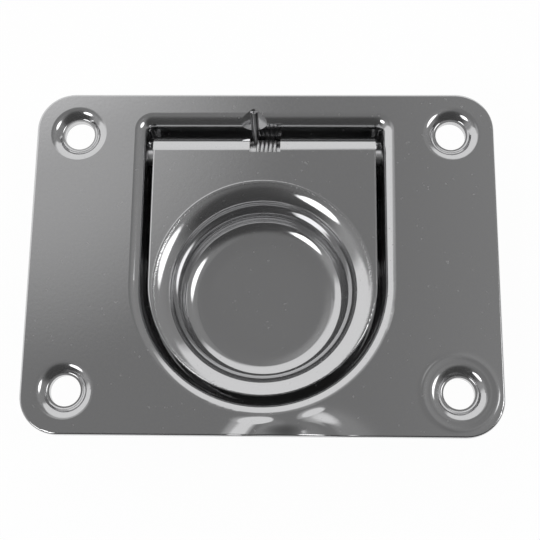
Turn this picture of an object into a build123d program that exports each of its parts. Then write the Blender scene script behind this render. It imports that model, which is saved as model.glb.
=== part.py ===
"""Recessed lift handle, stamped from polished stainless sheet, with a return spring.

Millimetres, +Z out of the panel towards the hand, +X across the plate and +Y
towards the hinge. The origin is the centre of the flange's underside, the plane
that lies on the panel. The pan hangs below it, through the panel's cut-out.
"""

from build123d import *
from math import acos, asin, atan2, cos, degrees, hypot, pi, radians, sin, tan
import os

# Base plate: the flange
plate_width = 76.0
plate_height = 57.0
plate_sheet = 1.2
plate_corner_radius = 6.2
plate_edge_break = 0.35

# Base plate: pressed countersinks for the screws
screw_inset = 7.0
screw_hole_radius = 2.5
dimple_land_width = 0.4
dimple_depth = 1.1
dimple_angle = 48.0
dimple_mouth_round = 1.8
dimple_land_round = 0.4

# Base plate: the D-shaped pan
pan_radius = 19.5
pan_front_margin = 5.3
pan_back_margin = 5.4
pan_corner_radius = 0.9
pan_rim_round = 2.1
pan_foot_round = 0.7

# Base plate: the round finger well in the pan's floor
well_outset = 0.3
well_depth = 3.7
well_mouth_round = 0.5
well_wall_height = 0.3

# Lift ring
ring_sheet = 1.2
ring_sunk = 0.2
ring_gap = 1.0
ring_edge_break = 0.3
ring_front_band = 3.75
ring_back_band = 9.05
finger_hole_round = 4.4
finger_hole_crease = 0.05
collar_rest_gap = 0.1
knuckle_wrap = 270.0
knuckle_floor_clearance = 0.2

# Hinge pin: a journal in the knuckle, turned down at both ends for the walls
journal_radius = 2.05
journal_overhang = 0.1
pin_end_radius = 1.45
pin_setback = 4.5
pin_running_clearance = 0.05
pin_seat_clearance = 0.02
peen_radius = 1.6
peen_height = 0.45
peen_round = 0.25

# Torsion spring
wire_radius = 0.3
coil_clearance = 0.2
coil_pitch = 0.7
coil_whole_turns = 5
coil_start_x = -1.5
leg_tip_reach = 2.05
leg_tip_sunk = 0.28
hook_bend_radius = 0.4
hook_length = 3.5
seat_clearance = 0.05
lip_setback = 0.3
lip_clearance = 0.08
notch_left_margin = 0.62
notch_right_margin = 0.1

# Dent in the rim that the spring's straight leg lies in
dent_half_angle = 60.0
dent_floor_round = 0.5
dent_start_share = 0.35
dent_end_share = 1.2
dent_height = 4.0

# Places across the plate
screw_spacing_x = plate_width - 2 * screw_inset
screw_spacing_y = plate_height - 2 * screw_inset
pan_centre_y = pan_front_margin - plate_height / 2 + pan_radius
pan_top_y = plate_height / 2 - pan_back_margin
pin_centre_y = pan_top_y - pin_setback
leg_tip_y = pan_top_y + leg_tip_reach

# Ring outline, its finger hole and the well under it
ring_radius = pan_radius - ring_gap
hole_front_y = pan_centre_y - ring_radius + ring_front_band
hole_back_y = pin_centre_y - ring_back_band
finger_hole_y = (hole_front_y + hole_back_y) / 2
finger_hole_radius = (hole_back_y - hole_front_y) / 2
well_radius = finger_hole_radius + well_outset
well_foot_round = well_depth - well_mouth_round - well_wall_height

# Knuckle and pin, which share one axis under the ring's sheet
knuckle_bore = journal_radius + pin_running_clearance
knuckle_radius = knuckle_bore + ring_sheet
journal_half_length = ring_radius + journal_overhang
pin_half_length = pan_radius + plate_sheet

# Heights
plate_top = plate_sheet
ring_top = plate_top - ring_sunk
ring_under = ring_top - ring_sheet
crease_top = ring_top + finger_hole_crease
pin_centre_z = ring_under - knuckle_bore
shelf_top = pin_centre_z - knuckle_radius - knuckle_floor_clearance
pan_depth = plate_top - shelf_top
collar_foot = shelf_top + collar_rest_gap

# Pressed countersinks, whose underside is the top cone set off by the sheet
dimple_land_radius = screw_hole_radius + dimple_land_width
dimple_mouth_radius = dimple_land_radius + dimple_depth / tan(radians(dimple_angle))
dimple_under_growth = plate_sheet * tan(radians(dimple_angle / 2))

# Spring angles, measured about the pin from +Y towards +Z
coil_radius = journal_radius + coil_clearance + wire_radius
tip_y = leg_tip_y - pin_centre_y
tip_z = plate_top - leg_tip_sunk - pin_centre_z
tip_distance = hypot(tip_y, tip_z)
leg_length = (tip_distance**2 - coil_radius**2) ** 0.5
leg_angle = degrees(atan2(tip_z, tip_y) - acos(coil_radius / tip_distance))
leg_slope = leg_angle + 90
hook_seat = degrees(asin((wire_radius + seat_clearance) / coil_radius))
hook_angle = 90 - knuckle_wrap - hook_seat
coil_sweep = leg_angle - hook_angle + 360 * coil_whole_turns
coil_length = coil_pitch * coil_sweep / 360
coil_end_x = coil_start_x + coil_length

# The notch that the knuckle leaves for the coil
notch_left = coil_start_x - wire_radius - notch_left_margin
notch_right = coil_end_x + wire_radius + notch_right_margin

# The finger hole's upright axis, and the plane of the sections turned about it
hole_axis = Axis((0, finger_hole_y, 0), (0, 0, 1))
hole_plane = Plane(origin=(0, finger_hole_y, 0), x_dir=(1, 0, 0), z_dir=(0, -1, 0))


def d_outline(radius, top_y, corner_radius=0.0):
    """Sketch a face with a half-round lower end, about the pan's centre, and a straight top edge."""
    with Locations((0, pan_centre_y)):
        Circle(radius)
    with Locations((0, (pan_centre_y + top_y) / 2)):
        Rectangle(2 * radius, top_y - pan_centre_y)
    if corner_radius:
        fillet(vertices().group_by(Axis.Y)[-1], corner_radius)


def well_section(set_off):
    """Sketch half of the well's section, with its wall and floor set off outwards."""
    with Locations((0, shelf_top)):
        Rectangle(well_radius + set_off, well_depth + set_off, align=(Align.MIN, Align.MAX))
    fillet(vertices().group_by(Axis.Y)[0].sort_by(Axis.X)[-1], well_foot_round + set_off)


def level_face(part, height):
    """The largest flat face of a part that lies at one height."""
    flats = part.faces().filter_by(Plane.XY)
    return flats.filter_by_position(Axis.Z, height - 0.01, height + 0.01).sort_by(SortBy.AREA)[-1]


def level_circles(part, height, radius):
    """The round edges of one radius that lie at one height."""
    level = part.edges().filter_by_position(Axis.Z, height - 0.01, height + 0.01)
    circles = level.filter_by(GeomType.CIRCLE)
    return circles.filter_by(lambda edge: abs(edge.radius - radius) < 0.01)


def v_section(floor_drop, floor_round):
    """Sketch a V with a rounded floor that lies a given way below the origin."""
    half_width = dent_height * tan(radians(dent_half_angle))
    tip_drop = floor_drop + floor_round * (1 / sin(radians(dent_half_angle)) - 1)
    rim = dent_height - tip_drop
    Polygon((0, -tip_drop), (half_width, rim), (-half_width, rim), align=None)
    fillet(vertices().group_by(Axis.Y)[0], floor_round)


# The leg slopes up from the coil to the rim, and the dent is a groove along it
leg_lean = coil_pitch / (2 * pi * coil_radius)
leg_direction = Vector(-leg_lean, cos(radians(leg_slope)), sin(radians(leg_slope))).normalized()
leg_root = Vector(
    coil_start_x,
    pin_centre_y + coil_radius * cos(radians(leg_angle)),
    pin_centre_z + coil_radius * sin(radians(leg_angle)),
)
dent_start = dent_start_share * leg_length
dent_length = dent_end_share * leg_length - dent_start
dent_origin = leg_root + leg_direction * dent_start
dent_plane = Plane(origin=dent_origin, x_dir=(-1, 0, 0), z_dir=leg_direction)
dent_floor_drop = wire_radius + seat_clearance

with BuildPart() as dent_metal:
    with BuildSketch(dent_plane):
        v_section(dent_floor_drop + plate_sheet, dent_floor_round + plate_sheet)
    extrude(amount=dent_length)
    # Only what hangs below the flange and outside the pan's wall is kept
    with Locations((0, pan_top_y, plate_top / 2)):
        Box(
            plate_width,
            plate_height,
            2 * pan_depth,
            align=(Align.CENTER, Align.MIN, Align.MAX),
            mode=Mode.INTERSECT,
        )

with BuildPart() as dent_hollow:
    with BuildSketch(dent_plane):
        v_section(dent_floor_drop, dent_floor_round)
    extrude(amount=dent_length)

# ------------------------------------------------------------------ base plate
with BuildPart() as base_plate:
    # Flange
    with BuildSketch():
        RectangleRounded(plate_width, plate_height, plate_corner_radius)
    extrude(amount=plate_sheet)

    # Outside of the pan and of the well, with the bend under the flange
    with BuildSketch(Plane.XY.offset(shelf_top - plate_sheet)):
        d_outline(pan_radius + plate_sheet, pan_top_y + plate_sheet, pan_corner_radius + plate_sheet)
    extrude(amount=pan_depth + plate_sheet / 2)
    fillet(level_face(base_plate, 0).inner_wires()[0].edges(), pan_rim_round - plate_sheet)
    pan_underside = level_face(base_plate, shelf_top - plate_sheet)
    fillet(pan_underside.outer_wire().edges(), pan_foot_round + plate_sheet)
    with BuildSketch(hole_plane):
        well_section(plate_sheet)
    revolve(axis=hole_axis)
    add(dent_metal.part)

    # Inside of the pan and of the well
    with BuildSketch(Plane.XY.offset(shelf_top)):
        d_outline(pan_radius, pan_top_y, pan_corner_radius)
    extrude(amount=pan_depth, mode=Mode.SUBTRACT)
    fillet(level_face(base_plate, plate_top).inner_wires()[0].edges(), pan_rim_round)
    fillet(level_face(base_plate, shelf_top).outer_wire().edges(), pan_foot_round)
    with BuildSketch(hole_plane):
        well_section(0)
    revolve(axis=hole_axis, mode=Mode.SUBTRACT)
    fillet(level_circles(base_plate, shelf_top, well_radius), well_mouth_round)
    add(dent_hollow.part, mode=Mode.SUBTRACT)

    # Countersinks pressed down through the flange, each with a flat land around its hole
    with Locations((0, 0, -dimple_depth)):
        with GridLocations(screw_spacing_x, screw_spacing_y, 2, 2):
            Cone(
                dimple_land_radius + dimple_under_growth,
                dimple_mouth_radius + dimple_under_growth,
                dimple_depth,
                align=(Align.CENTER, Align.CENTER, Align.MIN),
            )
    with Locations((0, 0, plate_top - dimple_depth)):
        with GridLocations(screw_spacing_x, screw_spacing_y, 2, 2):
            Cone(
                dimple_land_radius,
                dimple_mouth_radius,
                dimple_depth,
                align=(Align.CENTER, Align.CENTER, Align.MIN),
                mode=Mode.SUBTRACT,
            )
            Hole(screw_hole_radius)
    fillet(level_circles(base_plate, plate_top, dimple_mouth_radius), dimple_mouth_round)
    fillet(level_circles(base_plate, plate_top - dimple_depth, dimple_land_radius), dimple_land_round)

    # Seats for the pin through both side walls
    with BuildSketch(Plane.YZ):
        with Locations((pin_centre_y, pin_centre_z)):
            Circle(pin_end_radius + pin_seat_clearance)
    extrude(amount=plate_width / 2, both=True, mode=Mode.SUBTRACT)

    # Polished-off edge of the blank
    fillet(level_face(base_plate, plate_top).outer_wire().edges(), plate_edge_break)

# ------------------------------------------------------------------- lift ring
with BuildPart() as ring_blank:
    # The ring's outline, with its edge polished off everywhere but at the knuckle
    with BuildSketch(Plane.XY.offset(collar_foot)):
        d_outline(ring_radius, pin_centre_y)
    extrude(amount=ring_top - collar_foot)
    blank_edges = level_face(ring_blank, ring_top).outer_wire().edges()
    fillet(blank_edges.sort_by(Axis.Y)[:-1], ring_edge_break)

with BuildPart() as lift_ring:
    # Sheet that curves down around the finger hole into a collar. The curve would rise a
    # little above the flat sheet, so it meets the flat in a shallow crease.
    with BuildSketch(hole_plane):
        Polygon(
            (finger_hole_radius, collar_foot),
            (finger_hole_radius + ring_sheet, collar_foot),
            (finger_hole_radius + ring_sheet, ring_under),
            (plate_height, ring_under),
            (plate_height, crease_top),
            (finger_hole_radius, crease_top),
            align=None,
        )
        fillet(vertices().sort_by_distance((finger_hole_radius, crease_top))[0], finger_hole_round)
        fillet(
            vertices().sort_by_distance((finger_hole_radius + ring_sheet, ring_under))[0],
            finger_hole_round - ring_sheet,
        )
    revolve(axis=hole_axis)
    add(ring_blank.part, mode=Mode.INTERSECT)
    fillet(level_circles(lift_ring, collar_foot, finger_hole_radius), ring_edge_break)

    # Knuckle: the sheet's end rolled round the pin, on both sides of the spring's notch
    for side_x, inner_x in ((-ring_radius, notch_left), (ring_radius, notch_right)):
        with BuildSketch(Plane.YZ.offset(side_x)):
            with BuildLine():
                outside = CenterArc((pin_centre_y, pin_centre_z), knuckle_radius, 90, -knuckle_wrap)
                inside = CenterArc((pin_centre_y, pin_centre_z), knuckle_bore, 90, -knuckle_wrap)
                Line(outside @ 0, inside @ 0)
                Line(outside @ 1, inside @ 1)
            make_face()
        extrude(amount=inner_x - side_x)

    # Front lip of the notch, relieved underneath to clear the coil
    with BuildSketch(Plane.YZ.offset(notch_left)):
        with Locations((pin_centre_y, pin_centre_z)):
            Circle(coil_radius + wire_radius + lip_clearance)
        with Locations((pin_centre_y - lip_setback, pin_centre_z)):
            Rectangle(2 * knuckle_radius, 2 * knuckle_radius, align=(Align.MIN, Align.MIN))
    extrude(amount=notch_right - notch_left, mode=Mode.SUBTRACT)

# ------------------------------------------------------------------- hinge pin
with BuildPart() as hinge_pin:
    with BuildSketch(Plane.YZ):
        with Locations((pin_centre_y, pin_centre_z)):
            Circle(journal_radius)
    extrude(amount=journal_half_length, both=True)
    with BuildSketch(Plane.YZ):
        with Locations((pin_centre_y, pin_centre_z)):
            Circle(pin_end_radius)
    extrude(amount=pin_half_length, both=True)
    for side in (-1, 1):
        with BuildSketch(Plane.YZ.offset(side * pin_half_length)):
            with Locations((pin_centre_y, pin_centre_z)):
                Circle(peen_radius)
        extrude(amount=side * peen_height)
    ends = hinge_pin.edges().group_by(Axis.X)
    fillet(ends[0] + ends[-1], peen_round)

# -------------------------------------------------------------- torsion spring
coil_plane = Plane(
    origin=(coil_start_x, pin_centre_y, pin_centre_z),
    x_dir=(0, cos(radians(leg_angle)), sin(radians(leg_angle))),
    z_dir=(1, 0, 0),
)
coil = coil_plane.location * Helix(coil_pitch, coil_length, coil_radius, lefthand=True)
coil_end = coil @ 1
coil_end_direction = coil % 1

with BuildPart() as torsion_spring:
    with BuildSketch(Plane(origin=coil @ 0, z_dir=coil % 0)):
        Circle(wire_radius)
    sweep(path=coil)
    # Straight leg, from the back of the coil up into the dent
    leg_face = torsion_spring.faces().filter_by(GeomType.PLANE).sort_by_distance(coil @ 0)[0]
    extrude(leg_face, amount=leg_length)
    # Hook, bent from the front of the coil along the pin, into the knuckle's open seam
    bend_axis = Axis(
        coil_end + Vector(1, 0, 0) * hook_bend_radius,
        coil_end_direction.cross(Vector(1, 0, 0)),
    )
    bend_face = torsion_spring.faces().filter_by(GeomType.PLANE).sort_by_distance(coil_end)[0]
    revolve(bend_face, axis=bend_axis, revolution_arc=degrees(acos(coil_end_direction.X)))
    hook_face = torsion_spring.faces().filter_by(GeomType.PLANE).sort_by(Axis.X)[-1]
    extrude(hook_face, amount=hook_length)

os.makedirs("parts", exist_ok=True)
base_plate.part.label = "base_plate"
export_step(base_plate.part, "parts/base_plate.step")
lift_ring.part.label = "lift_ring"
export_step(lift_ring.part, "parts/lift_ring.step")
hinge_pin.part.label = "hinge_pin"
export_step(hinge_pin.part, "parts/hinge_pin.step")
torsion_spring.part.label = "torsion_spring"
export_step(torsion_spring.part, "parts/torsion_spring.step")
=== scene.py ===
import math

import bpy
from mathutils import Euler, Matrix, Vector


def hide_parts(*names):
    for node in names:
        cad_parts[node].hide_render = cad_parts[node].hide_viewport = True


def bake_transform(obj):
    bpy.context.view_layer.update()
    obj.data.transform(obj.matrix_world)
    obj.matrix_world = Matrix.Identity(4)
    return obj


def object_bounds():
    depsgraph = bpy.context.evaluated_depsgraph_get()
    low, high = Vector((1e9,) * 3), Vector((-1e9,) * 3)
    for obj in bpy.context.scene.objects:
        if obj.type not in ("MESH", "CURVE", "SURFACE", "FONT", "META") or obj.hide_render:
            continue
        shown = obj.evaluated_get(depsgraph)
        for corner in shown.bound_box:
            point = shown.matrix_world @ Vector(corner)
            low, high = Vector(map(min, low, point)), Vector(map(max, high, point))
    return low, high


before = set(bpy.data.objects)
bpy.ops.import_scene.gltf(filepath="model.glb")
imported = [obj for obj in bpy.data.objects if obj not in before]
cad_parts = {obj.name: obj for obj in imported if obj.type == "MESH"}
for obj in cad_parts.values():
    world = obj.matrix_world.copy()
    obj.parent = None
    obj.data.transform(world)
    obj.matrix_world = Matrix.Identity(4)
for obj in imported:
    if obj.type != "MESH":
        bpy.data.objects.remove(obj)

size_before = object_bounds()
scene = bpy.context.scene
scene.view_settings.view_transform = "Standard"

# Places on the part, in metres, as the solids have them
FINGER_HOLE = (0.0, -0.0045)
PAN_ARC = (0.0, -0.0037)
LOWER_RIGHT_SCREW = (0.031, -0.0215)
PIN = Vector((0.0, 0.0186, -0.0023))


# --------------------------------------------------------------- node helpers
class Tree:
    """A node tree with short words for the few nodes used here."""

    def __init__(self, tree):
        self.tree = tree
        tree.nodes.clear()

    def node(self, kind, inputs=None, **settings):
        made = self.tree.nodes.new(kind)
        for key, value in settings.items():
            setattr(made, key, value)
        for key, value in (inputs or {}).items():
            self.put(made.inputs[key], value)
        return made

    def put(self, socket, value):
        if isinstance(value, bpy.types.NodeSocket):
            self.tree.links.new(value, socket)
        else:
            socket.default_value = value

    def math(self, operation, *values):
        made = self.node("ShaderNodeMath", operation=operation)
        for socket, value in zip(made.inputs, values):
            self.put(socket, value)
        return made.outputs[0]

    def dot(self, vector, direction):
        made = self.node("ShaderNodeVectorMath", {0: vector, 1: direction}, operation="DOT_PRODUCT")
        return made.outputs["Value"]

    def axes(self, vector):
        """The X, Y and Z of a vector, each a socket."""
        return self.node("ShaderNodeSeparateXYZ", {0: vector}).outputs

    def step(self, value, low, high, to_low=0.0, to_high=1.0):
        """A soft step from to_low, at low, to to_high, at high. Low may be the larger."""
        ends = {"From Min": low, "From Max": high, "To Min": to_low, "To Max": to_high}
        made = self.node(
            "ShaderNodeMapRange", {"Value": value, **ends}, interpolation_type="SMOOTHSTEP"
        )
        return made.outputs["Result"]

    def mix(self, factor, a, b):
        """Mix of two numbers."""
        made = self.node("ShaderNodeMix", {0: factor, 2: a, 3: b}, data_type="FLOAT")
        return made.outputs[0]

    def noise(self, size, detail):
        """Noise in the piece's own frame, with lumps of about that size."""
        place = self.node("ShaderNodeTexCoord").outputs["Object"]
        made = self.node(
            "ShaderNodeTexNoise", {"Vector": place, "Scale": 1 / size, "Detail": detail}
        )
        return made.outputs[0]


# --------------------------------------------------- heights over the sheet
def around(tree, place, centre, reach=(1.0, 1.0)):
    """Distance from an upright axis, in metres, or in reaches where they are given."""
    x = tree.math("DIVIDE", tree.math("SUBTRACT", place["X"], centre[0]), reach[0])
    y = tree.math("DIVIDE", tree.math("SUBTRACT", place["Y"], centre[1]), reach[1])
    square = tree.math("ADD", tree.math("MULTIPLY", x, x), tree.math("MULTIPLY", y, y))
    return tree.math("SQRT", square)


def ridge(tree, distance, crest, width, height=1.0):
    """A round ridge: its height at a distance, highest where the distance is crest."""
    away = tree.math("DIVIDE", tree.math("SUBTRACT", distance, crest), width)
    fall = tree.math("MULTIPLY", tree.math("MULTIPLY", away, away), -1.0)
    return tree.math("MULTIPLY", tree.math("EXPONENT", fall), height)


def grain(tree, size, height):
    """The fine unevenness that drawing leaves under the polish."""
    return tree.math("MULTIPLY", tree.noise(size, detail=2.0), height)


def strip_bulge(tree, place):
    """The strip before the pan is crumpled: a hollow at its edge, and a ridge on either side."""
    # An oval ridge, centred beyond the plate's edge, with a flank of its own on either side
    reach = around(tree, place, centre=(0.0054, -0.0330), reach=(0.0085, 0.0066))
    outside, inside = tree.math("MAXIMUM", reach, 1.0), tree.math("MINIMUM", reach, 1.0)
    outer_flank = ridge(tree, outside, crest=1.0, width=0.34, height=0.0010)
    inner_flank = ridge(tree, inside, crest=1.0, width=0.80)
    ridges = tree.math("MULTIPLY", outer_flank, inner_flank)
    # It ends at the rim, and fades out in its middle
    clear_of_rim = tree.step(around(tree, place, PAN_ARC), low=0.0214, high=0.0230)
    middle = ridge(tree, place["X"], crest=0.0044, width=0.0046)
    off_middle = tree.math("SUBTRACT", 1.0, middle)
    ridges = tree.math("MULTIPLY", tree.math("MULTIPLY", ridges, clear_of_rim), off_middle)
    # The edge sags between its two halves
    sag = tree.step(place["Y"], low=-0.0290, high=-0.0262, to_low=-0.00055, to_high=0.0)
    hollow = tree.math("MULTIPLY", sag, ridge(tree, place["X"], crest=0.0042, width=0.0048))
    return tree.math("ADD", ridges, hollow)


def plate_relief(tree, place):
    """The crumpled strip, the ring pressed around one screw hole and the well's dished foot."""
    from_screw = around(tree, place, LOWER_RIGHT_SCREW)
    pressed = ridge(tree, from_screw, crest=0.00575, width=0.00045, height=0.00008)
    from_well = around(tree, place, FINGER_HOLE)
    dish = tree.step(from_well, low=0.0092, high=0.0138, to_low=0.0, to_high=0.0003)
    return tree.math("ADD", tree.math("ADD", strip_bulge(tree, place), pressed), dish)


def ring_relief(tree, place):
    """The fine, grainy crease where the flap starts to curve down into the finger hole."""
    distance = around(tree, place, FINGER_HOLE)
    crease = ridge(tree, distance, crest=0.01772, width=0.00012, height=0.000008)
    band = ridge(tree, distance, crest=0.01755, width=0.00022)
    rough = tree.math("MULTIPLY", band, grain(tree, size=0.00025, height=0.00005))
    return tree.math("ADD", crease, rough)


# ------------------------------------------------------------------- materials
STEEL_COLOUR = (0.60, 0.60, 0.606, 1)
HAZE_ROUGHNESS = 0.45
SPECK_SIZE = 0.0007
SPECK_HAZE = 0.5


def steel(name, roughness, haze, relief=None):
    """Steel that is mostly smooth, with a share of haze that is larger at a few fine specks."""
    material = bpy.data.materials.new(name)
    material.use_nodes = True
    tree = Tree(material.node_tree)
    place = tree.axes(tree.node("ShaderNodeTexCoord").outputs["Object"])
    height = grain(tree, size=0.0006, height=0.0000028)
    if relief:
        height = tree.math("ADD", height, relief(tree, place))
    bump = tree.node("ShaderNodeBump", {"Height": height, "Strength": 1.0, "Distance": 1.0})
    smooth, hazy = (
        tree.node(
            "ShaderNodeBsdfPrincipled",
            {
                "Base Color": STEEL_COLOUR,
                "Metallic": 1.0,
                "Roughness": value,
                "Normal": bump.outputs[0],
            },
        ).outputs[0]
        for value in (roughness, HAZE_ROUGHNESS)
    )
    lumps = tree.noise(SPECK_SIZE, detail=1.0)
    share = tree.step(lumps, low=0.72, high=0.80, to_low=haze, to_high=SPECK_HAZE)
    both = tree.node("ShaderNodeMixShader", {0: share, 1: smooth, 2: hazy})
    tree.node("ShaderNodeOutputMaterial", {"Surface": both.outputs[0]})
    return material


def polished_plate():
    return steel("polished_plate", roughness=0.07, haze=0.12, relief=plate_relief)


def polished_ring():
    return steel("polished_ring", roughness=0.07, haze=0.12, relief=ring_relief)


def drawn_wire():
    return steel("drawn_wire", roughness=0.34, haze=0.10)


FLOOR_COLOUR = (0.85, 0.85, 0.85, 1)
FLOOR_GLOW = 1.03
FLOOR_GLOW_SHARE = 0.93


def white_floor():
    """White to the camera and to what mirrors it, with the part's faint shadow left on it."""
    material = bpy.data.materials.new("floor_white")
    material.use_nodes = True
    tree = Tree(material.node_tree)
    rays = tree.node("ShaderNodeLightPath").outputs
    seen = tree.math("MAXIMUM", rays["Is Camera Ray"], rays["Is Glossy Ray"])
    seen = tree.math("MAXIMUM", seen, rays["Is Transmission Ray"])
    diffuse = tree.node("ShaderNodeBsdfDiffuse", {"Color": FLOOR_COLOUR})
    shine = tree.node("ShaderNodeEmission", {"Color": (1, 1, 1, 1), "Strength": FLOOR_GLOW})
    share = tree.math("MULTIPLY", seen, FLOOR_GLOW_SHARE)
    both = tree.node("ShaderNodeMixShader", {0: share, 1: diffuse.outputs[0], 2: shine.outputs[0]})
    tree.node("ShaderNodeOutputMaterial", {"Surface": both.outputs[0]})
    return material


# ---------------------------------------------------------------------- spring
WIRE_RADIUS = 0.0003
COIL_RADIUS = 0.00255
COIL_PITCH = 0.0007
COIL_START = -0.0015
COIL_SWEEP = math.radians(1944.52)
LEG_ANGLE = math.radians(-43.37)
LEG_LENGTH = 0.00684
HOOK_BEND = 0.0004
HOOK_LENGTH = 0.0035
COIL_STEPS = 260
BEND_STEPS = 6


def coil_point(angle, x):
    """A point of the coil's centre line, at an angle about the pin from +Y to +Z."""
    turned = Vector((0.0, math.cos(angle), math.sin(angle))) * COIL_RADIUS
    return PIN + turned + Vector((x, 0.0, 0.0))


def coil_direction(angle):
    """The way the wire runs there, square to the pin."""
    return Vector((0.0, math.sin(angle), -math.cos(angle)))


def spring_path():
    """Centre line from the leg's tip, around the pin, to the hook's end."""
    start = coil_point(LEG_ANGLE, COIL_START)
    lean = Vector((COIL_PITCH / (2 * math.pi * COIL_RADIUS), 0.0, 0.0))
    away = (coil_direction(LEG_ANGLE) + lean).normalized()
    path = [start - away * LEG_LENGTH]
    for step in range(COIL_STEPS + 1):
        turned = COIL_SWEEP * step / COIL_STEPS
        x = COIL_START + COIL_PITCH * turned / (2 * math.pi)
        path.append(coil_point(LEG_ANGLE - turned, x))
    along = Vector((1.0, 0.0, 0.0))
    onward = coil_direction(LEG_ANGLE - COIL_SWEEP)
    bend_centre = path[-1] + along * HOOK_BEND
    for step in range(1, BEND_STEPS + 1):
        turn = math.pi / 2 * step / BEND_STEPS
        path.append(bend_centre + (onward * math.sin(turn) - along * math.cos(turn)) * HOOK_BEND)
    path.append(path[-1] + along * HOOK_LENGTH)
    return path


def spring_wire():
    """The spring as one wire, coiled around the pin, in place of the solid spring."""
    path = spring_path()
    curve = bpy.data.curves.new("spring_wire", "CURVE")
    curve.dimensions = "3D"
    curve.bevel_depth = WIRE_RADIUS
    curve.bevel_resolution = 4
    curve.use_fill_caps = True
    line = curve.splines.new("POLY")
    line.points.add(len(path) - 1)
    for point, place in zip(line.points, path):
        point.co = (*place, 1.0)
    shaped = bpy.data.objects.new("spring_curve", curve)
    mesh = bpy.data.meshes.new_from_object(shaped)
    bpy.data.objects.remove(shaped)
    mesh.shade_smooth()
    wire = bpy.data.objects.new("spring_wire", mesh)
    scene.collection.objects.link(wire)
    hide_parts("torsion_spring")
    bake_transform(wire)
    return wire


# ---------------------------------------------------------------- studio world
# How brightly the steel sees each part of the room, where 1 is white
DARK_SIDE = 0.07
LIT_SPOT = 0.30
WHITE_WALL = 1.0
SOFT_BOX = 3.0
# Azimuth, elevation, radius and softness of each soft box, in degrees
SOFT_BOXES = ((1, 51, 11, 4.0), (223, 45, 12, 2.5))


def towards(azimuth, elevation):
    """Unit vector from +X turned to +Y by azimuth and raised by elevation, in degrees."""
    a, e = math.radians(azimuth), math.radians(elevation)
    return (math.cos(a) * math.cos(e), math.sin(a) * math.cos(e), math.sin(e))


def glow(sky, direction, azimuth, elevation, radius, soft):
    """Share of a soft round patch of light in the sky, in degrees."""
    return sky.step(
        sky.dot(direction, towards(azimuth, elevation)),
        low=math.cos(math.radians(radius + soft)),
        high=math.cos(math.radians(radius - soft)),
    )


def ceiling(sky, direction):
    """Grey ceiling, lighter at both sides and where the backdrop comes near, dark in front."""
    axes = sky.axes(direction)
    off_zenith, near_zenith = math.cos(math.radians(32)), math.cos(math.radians(14))
    grey = sky.step(axes["Z"], off_zenith, near_zenith, to_low=0.24, to_high=0.22)
    right = sky.step(axes["X"], low=0.04, high=0.24, to_low=0.0, to_high=0.06)
    left = sky.step(axes["X"], low=-0.25, high=-0.85, to_low=0.0, to_high=0.16)
    grey = sky.math("ADD", sky.math("ADD", grey, right), left)
    dark_side = sky.step(sky.dot(direction, towards(275, 12)), low=0.26, high=0.74)
    grey = sky.mix(dark_side, grey, DARK_SIDE)
    lit_spot = glow(sky, direction, azimuth=124, elevation=62, radius=8.5, soft=6.5)
    return sky.math("ADD", grey, sky.math("MULTIPLY", lit_spot, LIT_SPOT))


def backdrop(sky, direction):
    """Share of a tall white wall beyond the hinge, from the floor to high overhead."""
    right_edge = sky.step(sky.dot(direction, towards(142, 0)), low=-0.10, high=0.08)
    left_edge = sky.step(sky.dot(direction, towards(89, 0)), low=-0.14, high=0.08)
    top_edge = sky.step(sky.dot(direction, towards(118, -27)), low=-0.06, high=0.06)
    return sky.math("MULTIPLY", sky.math("MULTIPLY", right_edge, left_edge), top_edge)


def studio():
    """The room around the part, which the steel mirrors. The camera sees white."""
    world = bpy.data.worlds.new("studio")
    world.use_nodes = True
    sky = Tree(world.node_tree)
    direction = sky.node("ShaderNodeTexCoord").outputs["Generated"]
    room = sky.mix(backdrop(sky, direction), ceiling(sky, direction), WHITE_WALL)
    for soft_box in SOFT_BOXES:
        room = sky.mix(glow(sky, direction, *soft_box), room, SOFT_BOX)
    camera_ray = sky.node("ShaderNodeLightPath").outputs["Is Camera Ray"]
    strength = sky.mix(camera_ray, room, 1.0)
    background = sky.node("ShaderNodeBackground", {"Color": (1, 1, 1, 1), "Strength": strength})
    sky.node("ShaderNodeOutputWorld", {"Surface": background.outputs[0]})
    return world


# ------------------------------------------------------------ floor and camera
def floor():
    """A wide floor under the part's lowest point."""
    bpy.ops.mesh.primitive_plane_add(size=3.0, location=(0, 0, size_before[0].z))
    plane = bpy.context.object
    plane.name = "floor"
    plane.data.materials.append(white_floor())


def camera():
    """Nearly overhead, at the photograph's viewing angle."""
    data = bpy.data.cameras.new("camera")
    data.lens = 70.0
    data.sensor_width = 36.0
    data.clip_start = 0.01
    data.clip_end = 10.0
    made = bpy.data.objects.new("camera", data)
    scene.collection.objects.link(made)
    made.location = (0.00566, -0.04381, 0.16467)
    made.rotation_mode = "ZYX"
    tilt, roll, turn = math.radians(14.36), math.radians(1.51), math.radians(0.26)
    made.rotation_euler = Euler((tilt, roll, turn), "ZYX")
    return made


# ----------------------------------------------------------------------- scene
wire_steel = drawn_wire()
for piece, material in (
    (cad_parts["base_plate"], polished_plate()),
    (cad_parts["lift_ring"], polished_ring()),
    (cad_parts["hinge_pin"], wire_steel),
    (spring_wire(), wire_steel),
):
    piece.data.materials.clear()
    piece.data.materials.append(material)

scene.world = studio()
floor()
scene.camera = camera()
